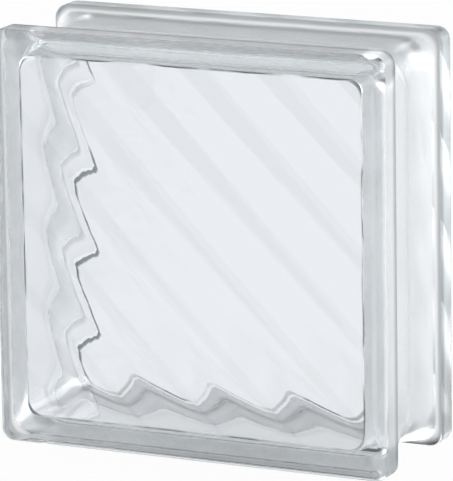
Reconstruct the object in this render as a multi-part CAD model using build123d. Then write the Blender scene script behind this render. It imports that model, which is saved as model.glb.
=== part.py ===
from build123d import *
import math
import os

os.makedirs("parts", exist_ok=True)

# Outline of the block, which stands on one of its four like edges
block_side = 190.0
block_depth = 80.0
corner_radius = 6.0
face_edge_radius = 4.0

# Mortar key, the shallow channel round the four edges
rim_thickness = 15.0
shoulder_height = 2.4
shoulder_run = 1.6
shoulder_corner_radius = 9.0
shoulder_edge_radius = 1.0
shoulder_foot_radius = 2.0
key_depth = 4.6
key_floor_width = 10.0
key_corner_radius = 18.0

# Bead left in the key where the two pressed halves were fused
bead_width = 3.0
bead_height = 0.4
bead_edge_slope = 0.35

# Sealed air space, with walls measured in from the outline of the block
plate_thickness = 9.5
wall_at_plate = 11.8
wall_at_seam = 9.5
cavity_corner_radius = 8.0
cavity_rounding_radius = 2.0
rounding_past_waves = 0.4

# Diagonal waves pressed into the inner faces
wave_pitch = 27.0
wave_height = 1.1
wave_phase_share = 0.79

half_depth = block_depth / 2
half_side = block_side / 2
rim_start = half_depth - rim_thickness
shoulder_start = rim_start - shoulder_run
shoulder_side = block_side - 2 * shoulder_height
key_floor_side = block_side - 2 * key_depth
key_floor_end = key_floor_width / 2
bead_side = key_floor_side + 2 * bead_height
wave_rise = wave_height / 2
cavity_end = half_depth - plate_thickness
cavity_reach = cavity_end + wave_rise + rounding_past_waves
cavity_side = block_side - 2 * wall_at_seam
cavity_draft = math.degrees(math.atan((wall_at_plate - wall_at_seam) / cavity_end))


def rounded_square(side, radius, depth_at):
    plane = Plane(origin=(0, depth_at, half_side), x_dir=(1, 0, 0), z_dir=(0, 1, 0))
    return plane * RectangleRounded(side, side, radius)


def edges_at(solid, depth_at):
    return solid.edges().filter_by_position(Axis.Y, depth_at, depth_at)


def outer_half():
    rim_outline = rounded_square(block_side, corner_radius, rim_start)
    shoulder_outline = rounded_square(shoulder_side, shoulder_corner_radius, shoulder_start)
    floor_outline = rounded_square(key_floor_side, key_corner_radius, key_floor_end)
    rim = extrude(rim_outline, rim_thickness)
    rim = fillet(edges_at(rim, half_depth), face_edge_radius)
    shoulder = loft([shoulder_outline, rim_outline], ruled=True)
    flank = loft([floor_outline, shoulder_outline], ruled=True)
    floor = extrude(rounded_square(key_floor_side, key_corner_radius, 0), key_floor_end)
    half = rim + shoulder + flank + floor
    half = fillet(edges_at(half, rim_start), shoulder_edge_radius)
    return fillet(edges_at(half, shoulder_start), shoulder_foot_radius)


def fused_bead():
    sketch = rounded_square(bead_side, key_corner_radius + bead_height, -bead_width / 2)
    bead = extrude(sketch, bead_width)
    bead = chamfer(edges_at(bead, bead_width / 2), bead_edge_slope)
    return chamfer(edges_at(bead, -bead_width / 2), bead_edge_slope)


def cavity_half():
    seam = rounded_square(cavity_side, cavity_corner_radius, 0)
    half = extrude(seam, cavity_reach, taper=cavity_draft)
    return fillet(edges_at(half, cavity_reach), cavity_rounding_radius)


def wave_line(depth_at):
    count = 2 * math.ceil(cavity_side / wave_pitch)
    arcs = []
    for step in range(-count, count):
        start = (step / 2 - wave_phase_share) * wave_pitch
        rise = -wave_rise if step % 2 else wave_rise
        crest = (start + wave_pitch / 4, depth_at + rise)
        end = (start + wave_pitch / 2, depth_at)
        arcs.append(ThreePointArc((start, depth_at), crest, end))
    return arcs


def wave_block():
    front = wave_line(-cavity_end)
    back = wave_line(cavity_end)
    ends = [Line(front[0] @ 0, back[0] @ 0), Line(front[-1] @ 1, back[-1] @ 1)]
    across = Plane(origin=(0, 0, half_side), x_dir=(1, 0, 1), z_dir=(-1, 0, 1))
    section = across.offset(-cavity_side) * make_face(front + back + ends)
    return extrude(section, 2 * cavity_side)


def glass_block():
    half = outer_half()
    body = half + mirror(half, about=Plane.XZ)
    body = body + fused_bead()
    hollow = cavity_half()
    hollow = hollow + mirror(hollow, about=Plane.XZ)
    return body - (hollow & wave_block())


export_step(glass_block(), "parts/glass_block.step")
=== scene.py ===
import bpy
import math
from mathutils import Matrix, Vector


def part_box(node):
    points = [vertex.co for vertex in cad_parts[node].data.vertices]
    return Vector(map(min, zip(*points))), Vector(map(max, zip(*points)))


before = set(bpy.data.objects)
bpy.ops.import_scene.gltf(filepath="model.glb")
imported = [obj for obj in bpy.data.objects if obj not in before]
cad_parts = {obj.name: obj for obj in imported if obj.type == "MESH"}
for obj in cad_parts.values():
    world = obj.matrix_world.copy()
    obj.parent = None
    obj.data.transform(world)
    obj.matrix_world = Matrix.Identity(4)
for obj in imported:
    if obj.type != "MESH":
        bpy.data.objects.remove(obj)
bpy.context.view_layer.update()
scene = bpy.context.scene
scene.view_settings.view_transform = "Standard"


def deselectAll():
    bpy.ops.object.select_all(action="DESELECT")


def feed(tree, socket, value):
    if isinstance(value, (int, float)):
        socket.default_value = value
    else:
        tree.links.new(value, socket)


def addMath(tree, operation, first, second):
    node = tree.nodes.new("ShaderNodeMath")
    node.operation = operation
    feed(tree, node.inputs[0], first)
    feed(tree, node.inputs[1], second)
    return node.outputs["Value"]


def addVector(tree, operation, first, second=None):
    node = tree.nodes.new("ShaderNodeVectorMath")
    node.operation = operation
    tree.links.new(first, node.inputs[0])
    if second is not None:
        node.inputs[1].default_value = second
    return node


def addRange(tree, value, fromRange, toRange):
    node = tree.nodes.new("ShaderNodeMapRange")
    node.interpolation_type = "SMOOTHSTEP"
    tree.links.new(value, node.inputs["Value"])
    node.inputs["From Min"].default_value, node.inputs["From Max"].default_value = fromRange
    node.inputs["To Min"].default_value, node.inputs["To Max"].default_value = toRange
    return node.outputs["Result"]


def addMix(tree, share, first, second):
    node = tree.nodes.new("ShaderNodeMix")
    tree.links.new(share, node.inputs["Factor"])
    feed(tree, node.inputs["A"], first)
    feed(tree, node.inputs["B"], second)
    return node.outputs["Result"]


def addNoise(tree, place, grain):
    node = tree.nodes.new("ShaderNodeTexNoise")
    tree.links.new(place, node.inputs["Vector"])
    node.inputs["Scale"].default_value, node.inputs["Detail"].default_value = grain
    return node.outputs["Fac"]


# clear pressed glass with a frosted mortar key and painted shade lines at the inner folds and shoulders;
# lengths in metres, noises as scale and detail
blockLook = {
    "tint": (0.92, 0.931, 0.947),
    "ior": 1.52,
    "depthTint": (0.62, 0.86, 0.92),
    "depthDensity": 2.0,             # per metre of glass
    "cornerSpan": 0.02,              # places near the outline are measured from this far inside it
    "sideInset": 0.007,              # the outer sides lie within this of the outline
    "innerReach": 0.034,             # the inner faces lie nearer the middle than this
    "frostReach": 0.0254,            # half the width of the frosted key
    "frostFade": 0.0008,
    "frostPatch": (35.0, 4),
    "frostGrain": (900.0, 2),
    "frostSpread": (0.3, 0.7),       # of the noise, from thick to thin frost
    "frostClear": (0.85, 0.95),      # how much light still passes
    "frostRough": (0.35, 0.5),
    "frostBump": 0.00003,
    "hazeSpread": (0.4, 0.75),
    "hazeRough": (0.0, 0.015),
    "landReach": 0.0362,             # the satin flats of the rims end here
    "landRough": 0.5,
    "ripple": (45.0, 1),
    "rippleBump": 0.00012,
    "waveSlant": 45.0,               # degrees
    "streak": (1.0, 2),
    "streakAcross": 120.0,           # streaks along the waves, to the metre
    "streakAlong": 14.0,
    "streakBump": 0.00006,
    # painted shade: the colour of the dark lines at the inner folds and the key's shoulders
    "paintedShadeTint": (0.05, 0.06, 0.065),
    "foldDepth": 0.0292,             # the folds where the plates meet the walls start here
    "foldInset": (0.0131, 0.0122),   # from the outline, where a fold starts and is darkest
    "foldPatch": (55.0, 1),
    "foldSpread": (0.35, 0.6),
    "foldShadeShare": (0.15, 1),          # of the painted shade in the broken and the whole parts of a fold
    # painted shade on the key's shoulders: where it rises, where it clears, and how dark
    "shoulderStart": (0.0236, 0.0246),
    "shoulderEnd": (0.0262, 0.03),
    "shoulderShadeShare": 0.7,
}


# place measured from the block's middle, so that all four edges read alike
def centrePlace(tree, middle):
    place = tree.nodes.new("ShaderNodeTexCoord")
    centred = tree.nodes.new("ShaderNodeMapping")
    centred.inputs["Location"].default_value = (0, 0, -middle)
    tree.links.new(place.outputs["Object"], centred.inputs["Vector"])
    return centred.outputs["Vector"]


# where a spot lies: how far out, how deep, and on which kind of surface
def readZones(tree, spot, halfSide):
    span = blockLook["cornerSpan"]
    start = halfSide - span
    mirrored = addVector(tree, "ABSOLUTE", spot).outputs["Vector"]
    outward = addVector(tree, "SUBTRACT", mirrored, (start, halfSide, start)).outputs["Vector"]
    outward = addVector(tree, "MAXIMUM", outward, (0, 0, 0)).outputs["Vector"]
    out = addVector(tree, "LENGTH", outward).outputs["Value"]
    split = tree.nodes.new("ShaderNodeSeparateXYZ")
    tree.links.new(mirrored, split.inputs["Vector"])
    deep = split.outputs["Y"]
    side = addMath(tree, "GREATER_THAN", out, span - blockLook["sideInset"])
    inner = addMath(tree, "LESS_THAN", deep, blockLook["innerReach"])
    inner = addMath(tree, "MAXIMUM", addMath(tree, "SUBTRACT", inner, side), 0)
    key = addMath(tree, "MULTIPLY", side, addReach(tree, deep, "frostReach"))
    land = addMath(tree, "MULTIPLY", side, addReach(tree, deep, "landReach"))
    return {"out": out, "deep": deep, "side": side, "inner": inner, "key": key, "land": land}


def addReach(tree, deep, name):
    reach, fade = blockLook[name], blockLook["frostFade"]
    return addRange(tree, deep, (reach - fade, reach + fade), (1, 0))


# frost is thicker in places, the lands are satin, clear glass has a trace of press haze
def addFrost(tree, shader, spot, zones):
    patch = addNoise(tree, spot, blockLook["frostPatch"])
    grain = addNoise(tree, spot, blockLook["frostGrain"])
    clear = addRange(tree, patch, blockLook["frostSpread"], blockLook["frostClear"])
    rough = addRange(tree, grain, blockLook["frostSpread"], blockLook["frostRough"])
    haze = addRange(tree, patch, blockLook["hazeSpread"], blockLook["hazeRough"])
    satin = addMath(tree, "MULTIPLY", zones["land"], blockLook["landRough"])
    haze = addMath(tree, "ADD", haze, satin)
    tree.links.new(addMix(tree, zones["key"], 1.0, clear), shader.inputs["Transmission Weight"])
    tree.links.new(addMix(tree, zones["key"], haze, rough), shader.inputs["Roughness"])


# painted shade: dark lines that come and go, painted into the glass colour along the inner folds where
# the plates meet the walls
def addFoldShade(tree, spot, zones):
    start, core = (blockLook["cornerSpan"] - inset for inset in blockLook["foldInset"])
    foldShade = addRange(tree, zones["out"], (start, core), (0, 1))
    deepEnough = addMath(tree, "GREATER_THAN", zones["deep"], blockLook["foldDepth"])
    foldShade = addMath(tree, "MULTIPLY", foldShade, deepEnough)
    foldShade = addMath(tree, "MULTIPLY", foldShade, zones["inner"])
    patch = addNoise(tree, spot, blockLook["foldPatch"])
    broken = addRange(tree, patch, blockLook["foldSpread"], blockLook["foldShadeShare"])
    return addMath(tree, "MULTIPLY", foldShade, broken)


# painted shade: the key's shoulders are painted darker, clearing again over the lands
def addShoulderShade(tree, zones):
    rise = addRange(tree, zones["deep"], blockLook["shoulderStart"], (0, blockLook["shoulderShadeShare"]))
    fall = addRange(tree, zones["deep"], blockLook["shoulderEnd"], (1, 0))
    shoulderShade = addMath(tree, "MULTIPLY", rise, fall)
    return addMath(tree, "MULTIPLY", shoulderShade, zones["side"])


# glass tint with the painted shade of the folds and shoulders mixed in
def addColour(tree, shader, spot, zones):
    paintedShade = addMath(tree, "MAXIMUM", addFoldShade(tree, spot, zones), addShoulderShade(tree, zones))
    colour = tree.nodes.new("ShaderNodeMix")
    colour.data_type = "RGBA"
    tree.links.new(paintedShade, colour.inputs["Factor"])
    colour.inputs["A"].default_value = (*blockLook["tint"], 1)
    colour.inputs["B"].default_value = (*blockLook["paintedShadeTint"], 1)
    tree.links.new(colour.outputs["Result"], shader.inputs["Base Color"])


# soft ripple left by the press, streaks along the waves, and the grain of the frost
def addRelief(tree, shader, spot, zones):
    slanted = tree.nodes.new("ShaderNodeMapping")
    slanted.inputs["Rotation"].default_value = (0, math.radians(blockLook["waveSlant"]), 0)
    slanted.inputs["Scale"].default_value = (blockLook["streakAcross"], 1, blockLook["streakAlong"])
    tree.links.new(spot, slanted.inputs["Vector"])
    streak = addNoise(tree, slanted.outputs["Vector"], blockLook["streak"])
    grain = addNoise(tree, spot, blockLook["frostGrain"])
    height = addMath(tree, "MULTIPLY", addNoise(tree, spot, blockLook["ripple"]), blockLook["rippleBump"])
    for pattern, zone, amount in ((streak, "inner", "streakBump"), (grain, "key", "frostBump")):
        relief = addMath(tree, "MULTIPLY", pattern, blockLook[amount])
        height = addMath(tree, "ADD", height, addMath(tree, "MULTIPLY", relief, zones[zone]))
    bump = tree.nodes.new("ShaderNodeBump")
    bump.inputs["Strength"].default_value = 1.0
    bump.inputs["Distance"].default_value = 1.0
    tree.links.new(height, bump.inputs["Height"])
    tree.links.new(bump.outputs["Normal"], shader.inputs["Normal"])


def addDepth(tree):
    inside = tree.nodes.new("ShaderNodeVolumeAbsorption")
    inside.inputs["Color"].default_value = (*blockLook["depthTint"], 1)
    inside.inputs["Density"].default_value = blockLook["depthDensity"]
    tree.links.new(inside.outputs["Volume"], tree.nodes["Material Output"].inputs["Volume"])


def makeGlass(middle, halfSide):
    glass = bpy.data.materials.new("pressedGlass")
    glass.use_nodes = True
    tree = glass.node_tree
    shader = tree.nodes["Principled BSDF"]
    shader.inputs["IOR"].default_value = blockLook["ior"]
    spot = centrePlace(tree, middle)
    zones = readZones(tree, spot, halfSide)
    addFrost(tree, shader, spot, zones)
    addColour(tree, shader, spot, zones)
    addRelief(tree, shader, spot, zones)
    addDepth(tree)
    return glass


def dressBlock():
    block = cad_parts["glass_block"]
    low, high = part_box("glass_block")
    block.data.materials.clear()
    block.data.materials.append(makeGlass((low[2] + high[2]) / 2, (high[0] - low[0]) / 2))
    print("glass on the block,", len(block.data.polygons), "faces")


# soft lights round the block: azimuth from +X towards +Y, elevation, half angles, strength
room = {
    "base": 0.05,
    "lights": {
        "right": (20, 12, 15, 42, 3.7),
        "rightBack": (56, 10, 12, 30, 2.8),
        "back": (112, 10, 12, 30, 0.7),
        "backLeft": (168, 8, 15, 38, 5.2),
    },
    "floor": 0.86,
    "floorRough": 0.9,
    "floorShare": 0.97,   # of the floor's white that is even, the rest takes the shadow
    "floorSize": 8.0,
    "floorFront": 1.2,    # the pale floor ends here in front of the block
    "floorDrop": 0.0004,  # keeps the floor clear of the glass
}


def addLights(tree):
    heading = tree.nodes.new("ShaderNodeTexCoord").outputs["Generated"]
    total = room["base"]
    for name, (azimuth, elevation, inner, outer, strength) in room["lights"].items():
        a, e = math.radians(azimuth), math.radians(elevation)
        centre = (math.cos(a) * math.cos(e), math.sin(a) * math.cos(e), math.sin(e))
        near = addVector(tree, "DOT_PRODUCT", heading, centre).outputs["Value"]
        edges = (math.cos(math.radians(outer)), math.cos(math.radians(inner)))
        total = addMath(tree, "ADD", addRange(tree, near, edges, (0, strength)), total)
        print("soft light", name)
    return total


def makeWorld():
    world = bpy.data.worlds.new("softRoom")
    scene.world = world
    world.use_nodes = True
    tree = world.node_tree
    nodes, links = tree.nodes, tree.links
    nodes.clear()
    out = nodes.new("ShaderNodeOutputWorld")
    seen = nodes.new("ShaderNodeBackground")
    lit = nodes.new("ShaderNodeBackground")
    for shade in (seen, lit):
        shade.inputs["Color"].default_value = (1, 1, 1, 1)
    mix = nodes.new("ShaderNodeMixShader")
    path = nodes.new("ShaderNodeLightPath")
    links.new(path.outputs["Is Camera Ray"], mix.inputs["Fac"])
    links.new(lit.outputs["Background"], mix.inputs[1])
    links.new(seen.outputs["Background"], mix.inputs[2])
    links.new(mix.outputs["Shader"], out.inputs["Surface"])
    links.new(addLights(tree), lit.inputs["Strength"])


# pale paint that the camera and the glass see as an even white
def makeFloorPaint():
    paint = bpy.data.materials.new("floorPaint")
    paint.use_nodes = True
    tree = paint.node_tree
    nodes, links = tree.nodes, tree.links
    shader = nodes["Principled BSDF"]
    shader.inputs["Base Color"].default_value = (room["floor"], room["floor"], room["floor"], 1)
    shader.inputs["Roughness"].default_value = room["floorRough"]
    glow = nodes.new("ShaderNodeEmission")
    mix = nodes.new("ShaderNodeMixShader")
    path = nodes.new("ShaderNodeLightPath")
    direct = addMath(tree, "MAXIMUM", path.outputs["Is Camera Ray"], path.outputs["Is Glossy Ray"])
    direct = addMath(tree, "MAXIMUM", direct, path.outputs["Is Transmission Ray"])
    links.new(addMath(tree, "MULTIPLY", direct, room["floorShare"]), mix.inputs["Fac"])
    links.new(shader.outputs["BSDF"], mix.inputs[1])
    links.new(glow.outputs["Emission"], mix.inputs[2])
    links.new(mix.outputs["Shader"], nodes["Material Output"].inputs["Surface"])
    return paint


def makeFloor():
    deselectAll()
    size, front = room["floorSize"], room["floorFront"]
    bpy.ops.mesh.primitive_plane_add(size=size, location=(0, size / 2 - front, -room["floorDrop"]))
    floor = bpy.context.object
    floor.name = "floor"
    bpy.ops.object.transform_apply(location=True, rotation=True, scale=True)
    floor.data.materials.append(makeFloorPaint())
    print("floor under the block")


# place of the photograph's camera round the block
view = {
    "azimuth": 25.294,
    "elevation": 13.375,
    "roll": -0.941,
    "distance": 2.0262,
    "target": (0.0015, 0.0, 0.09281),
    "focal": 4524.4,   # in pixels of the picture's long side
    "longSide": 481,
    "sensor": 36.0,    # millimetres
    "clip": (0.01, 50),
}


def makeCamera():
    data = bpy.data.cameras.new("camera")
    camera = bpy.data.objects.new("camera", data)
    scene.collection.objects.link(camera)
    a, e = math.radians(view["azimuth"]), math.radians(view["elevation"])
    back = Vector((math.sin(a) * math.cos(e), -math.cos(a) * math.cos(e), math.sin(e)))
    turn = (-back).to_track_quat("-Z", "Y").to_matrix()
    camera.location = Vector(view["target"]) + back * view["distance"]
    camera.rotation_euler = (turn @ Matrix.Rotation(math.radians(view["roll"]), 3, "Z")).to_euler()
    data.sensor_width = view["sensor"]
    data.lens = view["focal"] / view["longSide"] * view["sensor"]
    data.clip_start, data.clip_end = view["clip"]
    scene.camera = camera
    print("camera set")


# bounces that carry light through both plates and along the rims
bounces = {"all": 32, "transmission": 32, "glossy": 16}


def setBounces():
    scene.cycles.max_bounces = bounces["all"]
    scene.cycles.transmission_bounces = bounces["transmission"]
    scene.cycles.glossy_bounces = bounces["glossy"]


dressBlock()
makeWorld()
makeFloor()
makeCamera()
setBounces()
